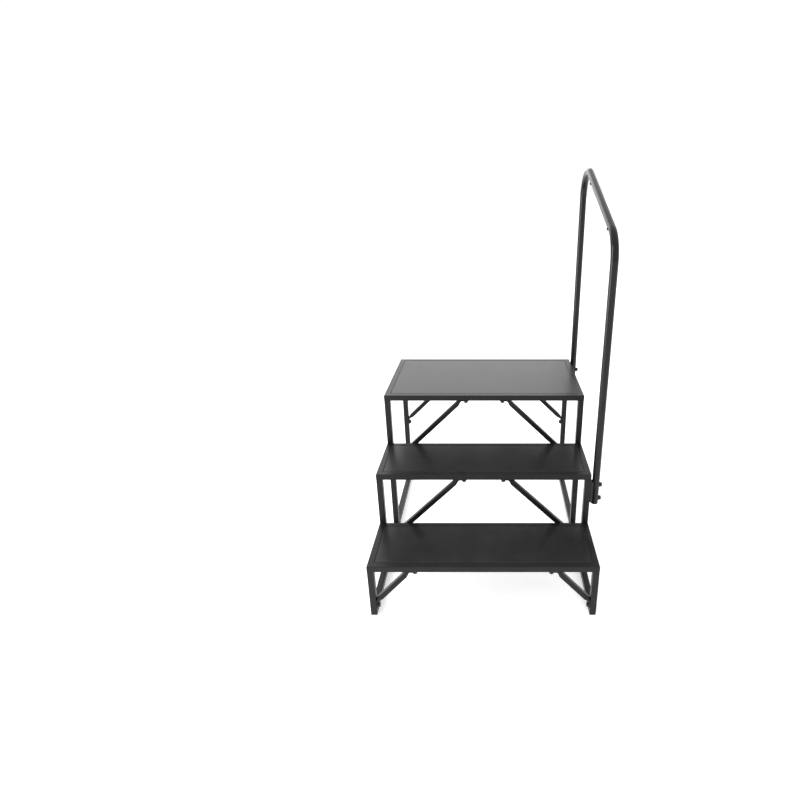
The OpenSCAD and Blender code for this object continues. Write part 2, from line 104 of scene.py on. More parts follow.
# The frame's steel tube. It is 20 mm square with a 1.5 mm wall and rounded corners, sawn to
# length, mitred at the tread corners and welded up. Then it is powder coated black all over,
# in a fine grained satin, so that a tread mirrors the sky behind it in a soft blur.
SIDES = ("left", "right")
TIERS = ("lower", "middle", "upper")
UPRIGHTS = TIERS + ("rear",)
FLOOR_BARS = ("front", "middle", "rear")
GLOSS_FALL = 0.015
GLOSS_RISE = 0.02


def powder_coat(name, dark, light, satin, grain, shine):
    """A stoved powder: a faint mottle of tone and gloss over a fine grain."""
    paint = bpy.data.materials.new(name)
    paint.use_nodes = True
    tree = paint.node_tree
    face = tree.nodes["Principled BSDF"]
    face.inputs["Specular IOR Level"].default_value = shine
    place = tree.nodes.new("ShaderNodeTexCoord")

    mottle = tree.nodes.new("ShaderNodeTexNoise")
    mottle.inputs["Scale"].default_value = 11
    mottle.inputs["Detail"].default_value = 6
    mottle.inputs["Roughness"].default_value = 0.62
    tone = tree.nodes.new("ShaderNodeValToRGB")
    tone.color_ramp.elements[0].position = 0.36
    tone.color_ramp.elements[0].color = (*dark, 1)
    tone.color_ramp.elements[1].position = 0.66
    tone.color_ramp.elements[1].color = (*light, 1)
    gloss = tree.nodes.new("ShaderNodeMapRange")
    gloss.inputs["From Min"].default_value = 0.3
    gloss.inputs["From Max"].default_value = 0.7
    gloss.inputs["To Min"].default_value = satin - GLOSS_FALL
    gloss.inputs["To Max"].default_value = satin + GLOSS_RISE

    powder = tree.nodes.new("ShaderNodeTexNoise")
    powder.inputs["Scale"].default_value = 900
    powder.inputs["Detail"].default_value = 2
    peel = tree.nodes.new("ShaderNodeBump")
    peel.inputs["Strength"].default_value = grain
    peel.inputs["Distance"].default_value = 0.0002

    tree.links.new(place.outputs["Object"], mottle.inputs["Vector"])
    tree.links.new(place.outputs["Object"], powder.inputs["Vector"])
    tree.links.new(mottle.outputs["Fac"], tone.inputs["Fac"])
    tree.links.new(mottle.outputs["Fac"], gloss.inputs["Value"])
    tree.links.new(powder.outputs["Fac"], peel.inputs["Height"])
    tree.links.new(tone.outputs["Color"], face.inputs["Base Color"])
    tree.links.new(gloss.outputs["Result"], face.inputs["Roughness"])
    tree.links.new(peel.outputs["Normal"], face.inputs["Normal"])
    return paint


def paint_node(node, paint):
    """Gives a CAD piece that keeps its own shape its finish."""
    for coat_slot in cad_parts[node].material_slots:
        coat_slot.material = paint


frame_coat = powder_coat(
    "black_frame_coat",
    dark=(0.0075, 0.0075, 0.0078),
    light=(0.0115, 0.0115, 0.012),
    satin=0.33,
    grain=0.2,
    shine=0.2,
)

for tier in TIERS:
    for edge in ("front", "rear", "left", "right"):
        paint_node(f"tread_{tier}_{edge}_tube", frame_coat)
for side in SIDES:
    for upright in UPRIGHTS:
        paint_node(f"leg_{upright}_{side}", frame_coat)
    for bar in FLOOR_BARS:
        paint_node(f"ground_rail_{bar}_{side}", frame_coat)

# The tread panels. Each is a tray of 1.5 mm sheet steel, its edges folded down round a small
# radius and set in its frame with a hair's gap, flush with the tubes. A folded channel is
# welded under its middle, so that it doesn't drum.
SHEET = 0.0015
FOLD = 0.0017
TINY = 1e-5
LINED_UP = 0.9
SHARP_TURN = math.radians(50)
SMOOTH_TURN = math.radians(32)


def pick(piece, kind, test):
    """In edit mode, selects the edges or faces that pass a test.

    The test gets the middle of each, and the run of an edge or the normal of a face."""
    bpy.ops.mesh.select_mode(type=kind)
    bpy.ops.mesh.select_all(action="DESELECT")
    mesh = bmesh.from_edit_mesh(piece.data)
    if kind == "FACE":
        chosen = [part for part in mesh.faces if test(part.calc_center_median(), part.normal)]
    else:
        ends = {part: (part.verts[0].co, part.verts[1].co) for part in mesh.edges}
        chosen = [part for part, (a, b) in ends.items() if test((a + b) / 2, (b - a).normalized())]
    for part in chosen:
        part.select_set(True)
    mesh.select_flush_mode()
    bmesh.update_edit_mesh(piece.data)


def block(name, low, high):
    """A new block between two corners, left in edit mode with its place in its mesh."""
    bpy.ops.object.select_all(action="DESELECT")
    bpy.ops.mesh.primitive_cube_add(size=1, location=(low + high) / 2, scale=high - low)
    piece = bpy.context.object
    piece.name = name
    bpy.ops.object.transform_apply(location=True, rotation=True, scale=True)
    bpy.ops.object.mode_set(mode="EDIT")
    return piece


def soften(piece, width, rounds=3):
    """Rounds every sharp edge of a piece that is left in object mode."""
    edge = piece.modifiers.new("soft_edge", "BEVEL")
    edge.width = width
    edge.segments = rounds
    edge.limit_method = "ANGLE"
    edge.angle_limit = SHARP_TURN
    bpy.ops.object.modifier_apply(modifier=edge.name)


def thicken(piece, wall):
    """Leaves edit mode and gives an open skin its wall, inwards."""
    bpy.ops.object.mode_set(mode="OBJECT")
    skin = piece.modifiers.new("wall", "SOLIDIFY")
    skin.thickness = wall
    skin.offset = -1
    skin.use_even_offset = True
    bpy.ops.object.modifier_apply(modifier=skin.name)


def fit(piece, paint, slot, *nodes):
    """Smooths and paints a finished piece, and lets it stand for its CAD nodes."""
    bpy.ops.object.select_all(action="DESELECT")
    piece.select_set(True)
    bpy.context.view_layer.objects.active = piece
    bpy.ops.object.shade_smooth_by_angle(angle=SMOOTH_TURN)
    flats = piece.modifiers.new("true_flats", "WEIGHTED_NORMAL")
    flats.keep_sharp = True
    bpy.ops.object.modifier_apply(modifier=flats.name)
    piece.data.materials.clear()
    piece.data.materials.append(paint)
    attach(piece, "root")
    if nodes:
        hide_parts(*nodes)


panel_coat = powder_coat(
    "black_tread_coat",
    dark=(0.0135, 0.0135, 0.0139),
    light=(0.0195, 0.0195, 0.02),
    satin=0.32,
    grain=0.2,
    shine=0.24,
)

for tier in TIERS:
    low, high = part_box(f"tread_{tier}_panel")
    tray = block(f"tread_{tier}_plate", low, high)
    pick(tray, "FACE", lambda mid, out: out.z < -LINED_UP)
    bpy.ops.mesh.delete(type="FACE")
    pick(tray, "EDGE", lambda mid, run: mid.z > low.z + TINY)
    bpy.ops.mesh.bevel(offset=FOLD, segments=5, profile=0.5)
    thicken(tray, SHEET)
    fit(tray, panel_coat, "black_panel", f"tread_{tier}_panel")

    low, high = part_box(f"tread_{tier}_rib")
    channel = block(f"tread_{tier}_channel", low, high)
    pick(channel, "FACE", lambda mid, out: out.z > LINED_UP or abs(out.y) > LINED_UP)
    bpy.ops.mesh.delete(type="FACE")
    pick(channel, "EDGE", lambda mid, run: abs(run.y) > LINED_UP and mid.z < low.z + TINY)
    bpy.ops.mesh.bevel(offset=FOLD, segments=5, profile=0.5)
    thicken(channel, SHEET)
    fit(channel, frame_coat, "black_frame", f"tread_{tier}_rib")

# The foot caps. Each is moulded in black plastic, a 3 mm sole with a rounded rim under the end
# of the leg and a hollow plug pushed up into its bore.
SOLE_ROUND = 0.0012
SOLE_CORNER = 0.002
FOOT_PLUG_IN = 0.0016
PLUG_WALL = 0.0015
DARKER = 0.8
LIGHTER = 1.25


def moulded_plastic(name, tone):
    """Matt black plastic with a fine moulded texture."""
    paint = bpy.data.materials.new(name)
    paint.use_nodes = True
    tree = paint.node_tree
    face = tree.nodes["Principled BSDF"]
    face.inputs["Specular IOR Level"].default_value = 0.35
    place = tree.nodes.new("ShaderNodeTexCoord")
    spark = tree.nodes.new("ShaderNodeTexVoronoi")
    spark.inputs["Scale"].default_value = 1600
    cloud = tree.nodes.new("ShaderNodeTexNoise")
    cloud.inputs["Scale"].default_value = 35
    cloud.inputs["Detail"].default_value = 4
    shade = tree.nodes.new("ShaderNodeValToRGB")
    shade.color_ramp.elements[0].color = (*[tone * DARKER] * 3, 1)
    shade.color_ramp.elements[1].color = (*[tone * LIGHTER] * 3, 1)
    matt = tree.nodes.new("ShaderNodeMapRange")
    matt.inputs["To Min"].default_value = 0.52
    matt.inputs["To Max"].default_value = 0.68
    dimple = tree.nodes.new("ShaderNodeBump")
    dimple.inputs["Strength"].default_value = 0.3
    dimple.inputs["Distance"].default_value = 0.0001
    tree.links.new(place.outputs["Object"], spark.inputs["Vector"])
    tree.links.new(place.outputs["Object"], cloud.inputs["Vector"])
    tree.links.new(cloud.outputs["Fac"], shade.inputs["Fac"])
    tree.links.new(cloud.outputs["Fac"], matt.inputs["Value"])
    tree.links.new(spark.outputs["Distance"], dimple.inputs["Height"])
    tree.links.new(shade.outputs["Color"], face.inputs["Base Color"])
    tree.links.new(matt.outputs["Result"], face.inputs["Roughness"])
    tree.links.new(dimple.outputs["Normal"], face.inputs["Normal"])
    return paint


def copied(model, name, shift, aim=(0, 0, 1), flip=False):
    """A copy of a model with its own mesh.

    It is turned from upright to an aim, or flipped left to right, and then shifted."""
    bpy.ops.object.select_all(action="DESELECT")
    model.select_set(True)
    bpy.context.view_layer.objects.active = model
    bpy.ops.object.duplicate()
    twin = bpy.context.object
    twin.name = name
    twin.rotation_euler = Vector((0, 0, 1)).rotation_difference(Vector(aim)).to_euler()
    twin.scale.x = -1 if flip else 1
    twin.location = shift
    bpy.ops.object.transform_apply(location=True, rotation=True, scale=True)
    if flip:
        bpy.ops.object.mode_set(mode="EDIT")
        bpy.ops.mesh.select_all(action="SELECT")
        bpy.ops.mesh.normals_make_consistent(inside=False)
        bpy.ops.object.mode_set(mode="OBJECT")
    return twin


def drawn_out(way):
    """In edit mode, extrudes what is selected."""
    bpy.ops.mesh.extrude_region_move(TRANSFORM_OT_translate={"value": way})


cap_plastic = moulded_plastic("black_moulded_plastic", tone=0.016)

cap_low, cap_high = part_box("foot_caps_left")
leg_low, leg_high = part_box("leg_lower_left")
sole = block(
    "foot_cap_model",
    Vector((leg_low.x, leg_low.y, cap_low.z)),
    Vector((leg_high.x, leg_high.y, leg_low.z)),
)
pick(sole, "EDGE", lambda mid, run: abs(run.z) > LINED_UP)
bpy.ops.mesh.bevel(offset=SOLE_CORNER, segments=5, profile=0.5)
pick(sole, "FACE", lambda mid, out: out.z > LINED_UP)
bpy.ops.mesh.inset(thickness=FOOT_PLUG_IN)
drawn_out((0, 0, cap_high.z - leg_low.z))
bpy.ops.mesh.inset(thickness=PLUG_WALL)
drawn_out((0, 0, leg_low.z - cap_high.z))
pick(sole, "EDGE", lambda mid, run: mid.z < cap_low.z + TINY)
bpy.ops.mesh.bevel(offset=SOLE_ROUND, segments=4, profile=0.5)
bpy.ops.object.mode_set(mode="OBJECT")
for side in SIDES:
    for upright in UPRIGHTS:
        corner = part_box(f"leg_{upright}_{side}")[0]
        foot = copied(sole, f"{upright}_{side}_foot_cap", (corner.x - leg_low.x, corner.y - leg_low.y, 0))
        fit(foot, cap_plastic, "black_plastic", f"foot_caps_{side}")
bpy.data.objects.remove(sole)

# The welds, made before the frame is coated. A short rippled run fills the corner at each end of
# a floor bar, on top and on its inner side, and short stitches hold each panel from below.
BEAD_RADIUS = 0.0014
BEAD_PITCH = 0.001
BEAD_RIPPLE = 1.14
BEAD_TAPER = 2.0
BAR_BEAD = 0.015
STITCH = 0.024
STITCH_SPOTS = (-0.26, 0, 0.26)
BEAD_SIDES = 12


def bead_model(name, length):
    """A run of weld on the origin, along X, whose rings swell and shrink like laid coins."""
    rings = round(length / BEAD_PITCH)
    start = -rings * BEAD_PITCH / 2
    bpy.ops.object.select_all(action="DESELECT")
    bpy.ops.mesh.primitive_circle_add(
        vertices=BEAD_SIDES,
        radius=BEAD_RADIUS / BEAD_TAPER,
        fill_type="NGON",
        location=(start, 0, 0),
        rotation=(0, math.pi / 2, 0),
    )
    bead = bpy.context.object
    bead.name = name
    bpy.ops.object.transform_apply(location=True, rotation=True, scale=True)
    bpy.ops.object.mode_set(mode="EDIT")
    bpy.ops.mesh.select_all(action="SELECT")
    for ring in range(rings):
        drawn_out((BEAD_PITCH, 0, 0))
        swell = BEAD_RIPPLE if ring % 2 else 1 / BEAD_RIPPLE
        if ring == 0:
            swell = BEAD_TAPER
        elif ring == rings - 1:
            swell = 1 / BEAD_TAPER
        middle = (start + (ring + 1) * BEAD_PITCH, 0, 0)
        bpy.ops.transform.resize(value=(1, swell, swell), center_override=middle)
    bpy.ops.mesh.select_all(action="SELECT")
    bpy.ops.mesh.normals_make_consistent(inside=False)
    bpy.ops.object.mode_set(mode="OBJECT")
    return bead


def gathered(name, pieces):
    """Makes one piece of several."""
    bpy.ops.object.select_all(action="DESELECT")
    for piece in pieces:
        piece.select_set(True)
    bpy.context.view_layer.objects.active = pieces[0]
    bpy.ops.object.join()
    pieces[0].name = name
    return pieces[0]


level_bead = bead_model("level_bead_model", BAR_BEAD)
upright_bead = copied(level_bead, "upright_bead_model", (0, 0, 0))
upright_bead.rotation_euler.y = math.pi / 2
bpy.ops.object.transform_apply(location=True, rotation=True, scale=True)
for side in SIDES:
    beads = []
    for bar in FLOOR_BARS:
        low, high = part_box(f"ground_rail_{bar}_{side}")
        inner_x = high.x if side == "left" else low.x
        for end_y in (low.y, high.y):
            top = ((low.x + high.x) / 2, end_y, high.z)
            flank = (inner_x, end_y, (low.z + high.z) / 2)
            beads.append(copied(level_bead, "bead", top))
            beads.append(copied(upright_bead, "bead", flank))
    fit(gathered(f"floor_bar_welds_{side}", beads), frame_coat, "black_frame")
bpy.data.objects.remove(level_bead)
bpy.data.objects.remove(upright_bead)

stitch = bead_model("stitch_model", STITCH)
for tier in TIERS:
    low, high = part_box(f"tread_{tier}_panel")
    mid_x = (low.x + high.x) / 2
    beads = []
    for spot in STITCH_SPOTS:
        for edge_y in (low.y, high.y):
            beads.append(copied(stitch, "bead", (mid_x + spot, edge_y, low.z)))
    fit(gathered(f"{tier}_tread_welds", beads), frame_coat, "black_frame")
bpy.data.objects.remove(stitch)

# The diagonal braces. Each is a length of 16 mm square tube whose ends are pressed flat, then
# bent to lie against the leg and under the tread's cross tube, and drilled for one bolt each.
BRACE_WIDTH = 0.016
BRACE_CORNER = 0.0018
TAB_THICK = 0.003
TAB_ROUND = 0.0009
TAB_END_ROUND = 0.006
TAB_LENGTH = 0.027
TAB_LAP = 0.003
PRESS_LENGTH = 0.019
BOLT_HOLE = 0.0085
DRILL_LENGTH = 0.03
SQUARE_ON = 0.01
ROUND_SIDES = 48
UP = Vector((0, 0, 1))


def bored(piece, place, along, width, length):
    """Drills a round hole through a piece that is in object mode, centred on a place."""
    bpy.ops.object.select_all(action="DESELECT")
    turn = Vector(along).to_track_quat("Z", "Y").to_euler()
    bpy.ops.mesh.primitive_cylinder_add(
        vertices=ROUND_SIDES, radius=width / 2, depth=length, location=place, rotation=turn
    )
    drill = bpy.context.object
    hole = piece.modifiers.new("hole", "BOOLEAN")
    hole.operation = "DIFFERENCE"
    hole.object = drill
    bpy.context.view_layer.objects.active = piece
    bpy.ops.object.modifier_apply(modifier=hole.name)
    bpy.data.objects.remove(drill)


def loft(piece, first, second):
    """In edit mode, joins two open rings, each given by a point on its plane and its direction."""
    rings = [(point, way.normalized()) for point, way in (first, second)]

    def on_a_ring(mid, run):
        for point, way in rings:
            in_plane = abs((mid - point).dot(way)) < TINY and abs(run.dot(way)) < SQUARE_ON
            if in_plane and (mid - point).length < BRACE_WIDTH:
                return True
        return False

    pick(piece, "EDGE", on_a_ring)
    bpy.ops.mesh.bridge_edge_loops(number_cuts=5, interpolation="PATH", smoothness=0.7)


def tab(piece, low, high, inner, flat_way, end_way):
    """In edit mode, adds a pressed flat end: open at its inner end, round cornered at its outer one."""
    bpy.ops.mesh.select_all(action="DESELECT")
    bpy.ops.mesh.primitive_cube_add(size=1, location=(low + high) / 2, scale=high - low)

    def inside(mid):
        return all(low[i] - TINY < mid[i] < high[i] + TINY for i in range(3))

    def at_outer_end(mid):
        return (mid - inner).dot(end_way) > TAB_LENGTH - TAB_LAP - TINY

    pick(piece, "FACE", lambda mid, out: inside(mid) and out.dot(end_way) < -LINED_UP)
    bpy.ops.mesh.delete(type="FACE")
    def on_a_corner(mid, run):
        return inside(mid) and at_outer_end(mid) and abs(run.dot(flat_way)) > LINED_UP

    pick(piece, "EDGE", on_a_corner)
    bpy.ops.mesh.bevel(offset=TAB_END_ROUND, segments=6, profile=0.5)
    faces = [corner.dot(flat_way) for corner in (low, high)]

    def on_the_rim(mid, run):
        level = any(abs(mid.dot(flat_way) - face) < TINY for face in faces)
        return inside(mid) and level and (mid - inner).dot(end_way) > TINY

    pick(piece, "EDGE", on_the_rim)
    bpy.ops.mesh.bevel(offset=TAB_ROUND, segments=4, profile=0.5)


def brace_model(name, node):
    """The brace of a left-hand node, from the leg's inner face up to the tread's underside."""
    low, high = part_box(node)
    mid_y = (low.y + high.y) / 2
    level = Vector((1, 0, 0))
    foot_bend = Vector((low.x + TAB_THICK / 2, mid_y, low.z + TAB_LENGTH))
    head_bend = Vector((high.x - TAB_LENGTH, mid_y, high.z - TAB_THICK / 2))
    run = (head_bend - foot_bend).normalized()
    tube_low = foot_bend + PRESS_LENGTH * run
    tube_high = head_bend - PRESS_LENGTH * run
    foot_open = foot_bend - TAB_LAP * UP
    head_open = head_bend + TAB_LAP * level

    bpy.ops.object.select_all(action="DESELECT")
    bpy.ops.mesh.primitive_cube_add(
        size=1,
        location=(tube_low + tube_high) / 2,
        rotation=(0, math.atan2(run.x, run.z), 0),
        scale=(BRACE_WIDTH, BRACE_WIDTH, (tube_high - tube_low).length),
    )
    piece = bpy.context.object
    piece.name = name
    bpy.ops.object.transform_apply(location=True, rotation=True, scale=True)
    bpy.ops.object.mode_set(mode="EDIT")
    pick(piece, "FACE", lambda mid, out: abs(out.dot(run)) > LINED_UP)
    bpy.ops.mesh.delete(type="FACE")
    pick(piece, "EDGE", lambda mid, way: abs(way.dot(run)) > LINED_UP)
    bpy.ops.mesh.bevel(offset=BRACE_CORNER, segments=4, profile=0.5)

    tab(piece, low, Vector((low.x + TAB_THICK, high.y, foot_open.z)), foot_open, level, -UP)
    tab(piece, Vector((head_open.x, low.y, high.z - TAB_THICK)), high, head_open, UP, level)
    loft(piece, (foot_open, UP), (tube_low, run))
    loft(piece, (tube_high, run), (head_open, level))
    bpy.ops.mesh.select_all(action="SELECT")
    bpy.ops.mesh.normals_make_consistent(inside=False)
    bpy.ops.object.mode_set(mode="OBJECT")

    half = (high.y - low.y) / 2
    bored(piece, Vector((low.x, mid_y, low.z + half)), level, BOLT_HOLE, DRILL_LENGTH)
    bored(piece, Vector((high.x - half, mid_y, high.z)), UP, BOLT_HOLE, DRILL_LENGTH)
    return piece


brace_coat = powder_coat(
    "black_brace_coat",
    dark=(0.006, 0.006, 0.0063),
    light=(0.010, 0.010, 0.0105),
    satin=0.32,
    grain=0.2,
    shine=0.2,
)

brace_models = {
    "lower": brace_model("short_brace_model", "brace_lower_left"),
    "middle": brace_model("long_brace_model", "brace_middle_left"),
}
for upright in UPRIGHTS:
    kind = "lower" if upright == "lower" else "middle"
    from_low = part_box(f"brace_{kind}_left")[0]
    for side in SIDES:
        to_low, to_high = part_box(f"brace_{upright}_{side}")
        shift = to_low - from_low
        if side == "right":
            shift.x = from_low.x + to_high.x
        twin = copied(brace_models[kind], f"{upright}_{side}_brace", shift, flip=side == "right")
        fit(twin, brace_coat, "black_brace", f"brace_{upright}_{side}")
for model in brace_models.values():
    bpy.data.objects.remove(model)

# The bolts that hold the braces. Each is an M8 hexagon bolt with a chamfered head, oxidised
# black, on a plain washer, screwed into a rivet nut set in the leg or in the cross tube.
THREAD = 0.008
BOLT_FLATS = 0.013
BOLT_HEAD = 0.0055
HEAD_CHAMFER_START = 0.0059
CHAMFER_ANGLE = math.radians(30)
CUT_ROOM = 0.0005
SHANK_SINK = 0.001
SHANK_CHAMFER = 0.0008
WASHER_WIDE = 0.016
WASHER_THICK = 0.0016
WASHER_HOLE = 0.0085
WASHER_ROUND = 0.00025
RIVET_NUT = 0.011
HEX_SIDES = 6


def black_oxide(name):
    """Oxidised steel: near black, a little worn and glossier on the rubbed places."""
    paint = bpy.data.materials.new(name)
    paint.use_nodes = True
    tree = paint.node_tree
    face = tree.nodes["Principled BSDF"]
    face.inputs["Metallic"].default_value = 0.55
    place = tree.nodes.new("ShaderNodeTexCoord")
    rub = tree.nodes.new("ShaderNodeTexNoise")
    rub.inputs["Scale"].default_value = 160
    rub.inputs["Detail"].default_value = 6
    rub.inputs["Roughness"].default_value = 0.7
    tone = tree.nodes.new("ShaderNodeValToRGB")
    tone.color_ramp.elements[0].position = 0.4
    tone.color_ramp.elements[0].color = (0.012, 0.012, 0.013, 1)
    tone.color_ramp.elements[1].position = 0.75
    tone.color_ramp.elements[1].color = (0.05, 0.048, 0.047, 1)
    gloss = tree.nodes.new("ShaderNodeMapRange")
    gloss.inputs["To Min"].default_value = 0.5
    gloss.inputs["To Max"].default_value = 0.3
    pit = tree.nodes.new("ShaderNodeBump")
    pit.inputs["Strength"].default_value = 0.15
    pit.inputs["Distance"].default_value = 0.0001
    tree.links.new(place.outputs["Object"], rub.inputs["Vector"])
    tree.links.new(rub.outputs["Fac"], tone.inputs["Fac"])
    tree.links.new(rub.outputs["Fac"], gloss.inputs["Value"])
    tree.links.new(rub.outputs["Fac"], pit.inputs["Height"])
    tree.links.new(tone.outputs["Color"], face.inputs["Base Color"])
    tree.links.new(gloss.outputs["Result"], face.inputs["Roughness"])
    tree.links.new(pit.outputs["Normal"], face.inputs["Normal"])
    return paint


def merged(piece, other, how):
    """Cuts a piece to what another shares with it, or joins the other on, and uses the other up."""
    join = piece.modifiers.new("merge", "BOOLEAN")
    join.operation = how
    join.object = other
    bpy.context.view_layer.objects.active = piece
    bpy.ops.object.modifier_apply(modifier=join.name)
    bpy.data.objects.remove(other)


def bolt_model(name, shank):
    """A hexagon bolt on the origin: its seat on the level plane, its shank up, its head below."""
    depth = BOLT_HEAD + CUT_ROOM
    bpy.ops.object.select_all(action="DESELECT")
    bpy.ops.mesh.primitive_cylinder_add(
        vertices=HEX_SIDES,
        radius=BOLT_FLATS / 2 / math.cos(math.pi / HEX_SIDES),
        depth=depth,
        location=(0, 0, -depth / 2),
    )
    bolt = bpy.context.object
    bolt.name = name
    bpy.ops.object.transform_apply(location=True, rotation=True, scale=True)
    bpy.ops.mesh.primitive_cone_add(
        vertices=ROUND_SIDES,
        radius1=HEAD_CHAMFER_START,
        radius2=HEAD_CHAMFER_START + depth / math.tan(CHAMFER_ANGLE),
        depth=depth,
        location=(0, 0, CUT_ROOM - depth / 2),
    )
    merged(bolt, bpy.context.object, "INTERSECT")
    bpy.ops.object.select_all(action="DESELECT")
    bpy.ops.mesh.primitive_cylinder_add(
        vertices=ROUND_SIDES,
        radius=THREAD / 2,
        depth=shank + SHANK_SINK,
        location=(0, 0, (shank - SHANK_SINK) / 2),
    )
    rod = bpy.context.object
    bpy.ops.object.transform_apply(location=True, rotation=True, scale=True)
    bpy.ops.object.mode_set(mode="EDIT")
    pick(rod, "EDGE", lambda mid, run: mid.z > shank - TINY)
    bpy.ops.mesh.bevel(offset=SHANK_CHAMFER, segments=1)
    bpy.ops.object.mode_set(mode="OBJECT")
    merged(bolt, rod, "UNION")
    return bolt


def washer_model():
    """A plain washer on the origin, below the level plane, its rims softened by stamping."""
    bpy.ops.object.select_all(action="DESELECT")
    bpy.ops.mesh.primitive_circle_add(vertices=ROUND_SIDES, radius=WASHER_WIDE / 2, fill_type="NGON")
    ring = bpy.context.object
    ring.name = "washer_model"
    bpy.ops.object.mode_set(mode="EDIT")
    bpy.ops.mesh.select_all(action="SELECT")
    bpy.ops.mesh.inset(thickness=(WASHER_WIDE - WASHER_HOLE) / 2)
    bpy.ops.mesh.delete(type="FACE")
    bpy.ops.mesh.select_all(action="SELECT")
    bpy.ops.mesh.normals_make_consistent(inside=False)
    thicken(ring, WASHER_THICK)
    top = max(corner[2] for corner in ring.bound_box)
    bpy.ops.object.mode_set(mode="EDIT")
    bpy.ops.mesh.select_all(action="SELECT")
    bpy.ops.transform.translate(value=(0, 0, -top))
    bpy.ops.object.mode_set(mode="OBJECT")
    soften(ring, WASHER_ROUND)
    return ring


bolt_finish = black_oxide("black_oxide_steel")

bolt = bolt_model("bolt_model", TAB_THICK + WASHER_THICK + RIVET_NUT)
washer = washer_model()
for side in SIDES:
    inward = Vector((1 if side == "left" else -1, 0, 0))
    for upright in UPRIGHTS:
        low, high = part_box(f"brace_{upright}_{side}")
        mid_y = (low.y + high.y) / 2
        half = (high.y - low.y) / 2
        leg_x = low.x if side == "left" else high.x
        tip_x = high.x if side == "left" else low.x
        places = {
            "leg": (Vector((leg_x, mid_y, low.z + half)) + TAB_THICK * inward, -inward),
            "tread": (Vector((tip_x, mid_y, high.z - TAB_THICK)) - half * inward, UP),
        }
        for end, (seat, aim) in places.items():
            ring = copied(washer, f"{upright}_{side}_{end}_washer", seat, aim)
            fit(ring, bolt_finish, "black_bolts", "flat_washers")
            stud = copied(bolt, f"{upright}_{side}_{end}_bolt", seat - WASHER_THICK * aim, aim)
            fit(stud, bolt_finish, "black_bolts", "brace_bolts")
bpy.data.objects.remove(bolt)

# The link bolts. A longer bolt of the same kind goes forwards through each middle and upper
# leg, into a threaded plug in the end of the side tube in front, and ties the tiers together.
LINK_PLUG = 0.02

leg_low, leg_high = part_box("leg_middle_left")
link = bolt_model("link_model", WASHER_THICK + (leg_high.y - leg_low.y) + LINK_PLUG)
for side in SIDES:
    for tier, upright in (("lower", "middle"), ("middle", "upper")):
        low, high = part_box(f"leg_{upright}_{side}")
        tread_low, tread_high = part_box(f"tread_{tier}_{side}_tube")
        seat = Vector(((low.x + high.x) / 2, high.y, (tread_low.z + tread_high.z) / 2))
        forwards = Vector((0, -1, 0))
        ring = copied(washer, f"{tier}_{side}_link_washer", seat, forwards)
        fit(ring, bolt_finish, "black_bolts", "flat_washers")
        stud = copied(link, f"{tier}_{side}_link_bolt", seat - WASHER_THICK * forwards, forwards)
        fit(stud, bolt_finish, "black_bolts", "link_bolts")
bpy.data.objects.remove(link)
bpy.data.objects.remove(washer)

# What is inside the tubes: the rivet nuts, the spigots that the legs push up onto, the threaded
# plugs for the link bolts and the two sleeves in the handrail. All are bright zinc plated steel.
INNER_NODES = ("rivet_nuts", "leg_spigots", "link_plugs", "handrail_front_sleeve", "handrail_rear_sleeve")


def zinc_plate(name):
    """Bright zinc plate under a faint cloudy bloom."""
    paint = bpy.data.materials.new(name)
    paint.use_nodes = True
    tree = paint.node_tree
    face = tree.nodes["Principled BSDF"]
    face.inputs["Metallic"].default_value = 1.0
    place = tree.nodes.new("ShaderNodeTexCoord")
    bloom = tree.nodes.new("ShaderNodeTexNoise")
    bloom.inputs["Scale"].default_value = 70
    bloom.inputs["Detail"].default_value = 5
    tone = tree.nodes.new("ShaderNodeValToRGB")
    tone.color_ramp.elements[0].color = (0.46, 0.47, 0.49, 1)
    tone.color_ramp.elements[1].color = (0.66, 0.66, 0.64, 1)
    gloss = tree.nodes.new("ShaderNodeMapRange")
    gloss.inputs["To Min"].default_value = 0.25
    gloss.inputs["To Max"].default_value = 0.45
    tree.links.new(place.outputs["Object"], bloom.inputs["Vector"])
    tree.links.new(bloom.outputs["Fac"], tone.inputs["Fac"])
    tree.links.new(bloom.outputs["Fac"], gloss.inputs["Value"])
    tree.links.new(tone.outputs["Color"], face.inputs["Base Color"])
    tree.links.new(gloss.outputs["Result"], face.inputs["Roughness"])
    return paint


plating = zinc_plate("zinc_plated_steel")

for node in INNER_NODES:
    paint_node(node, plating)

# The handrail. Two posts of 24 mm round tube are bent over at the top, and a straight rail
# joins their arms over a sleeve at each end. It has the same coat as the frame, glossier.
RAIL_WALL = 0.0015
RAIL_RIM = 0.0005
BEND_RADIUS = 0.095
FRONT_CORNER_RISE = 0.735
REAR_CORNER_RISE = 0.761
FRONT_ARM = 0.027
REAR_ARM = 0.1
BEND_STEPS = 20
POST_BOLT_DROP = 0.022
POST_BOLT_STEP = 0.05
SCREW_BACK = 0.015
SCREW_TILT = math.radians(30)
SCREW_THREAD = 0.005
SCREW_HOLE = 0.0055

rail_coat = powder_coat(
    "black_handrail_coat",
    dark=(0.004, 0.004, 0.0042),
    light=(0.008, 0.008, 0.0083),
    satin=0.2,
    grain=0.05,
    shine=0.27,
)

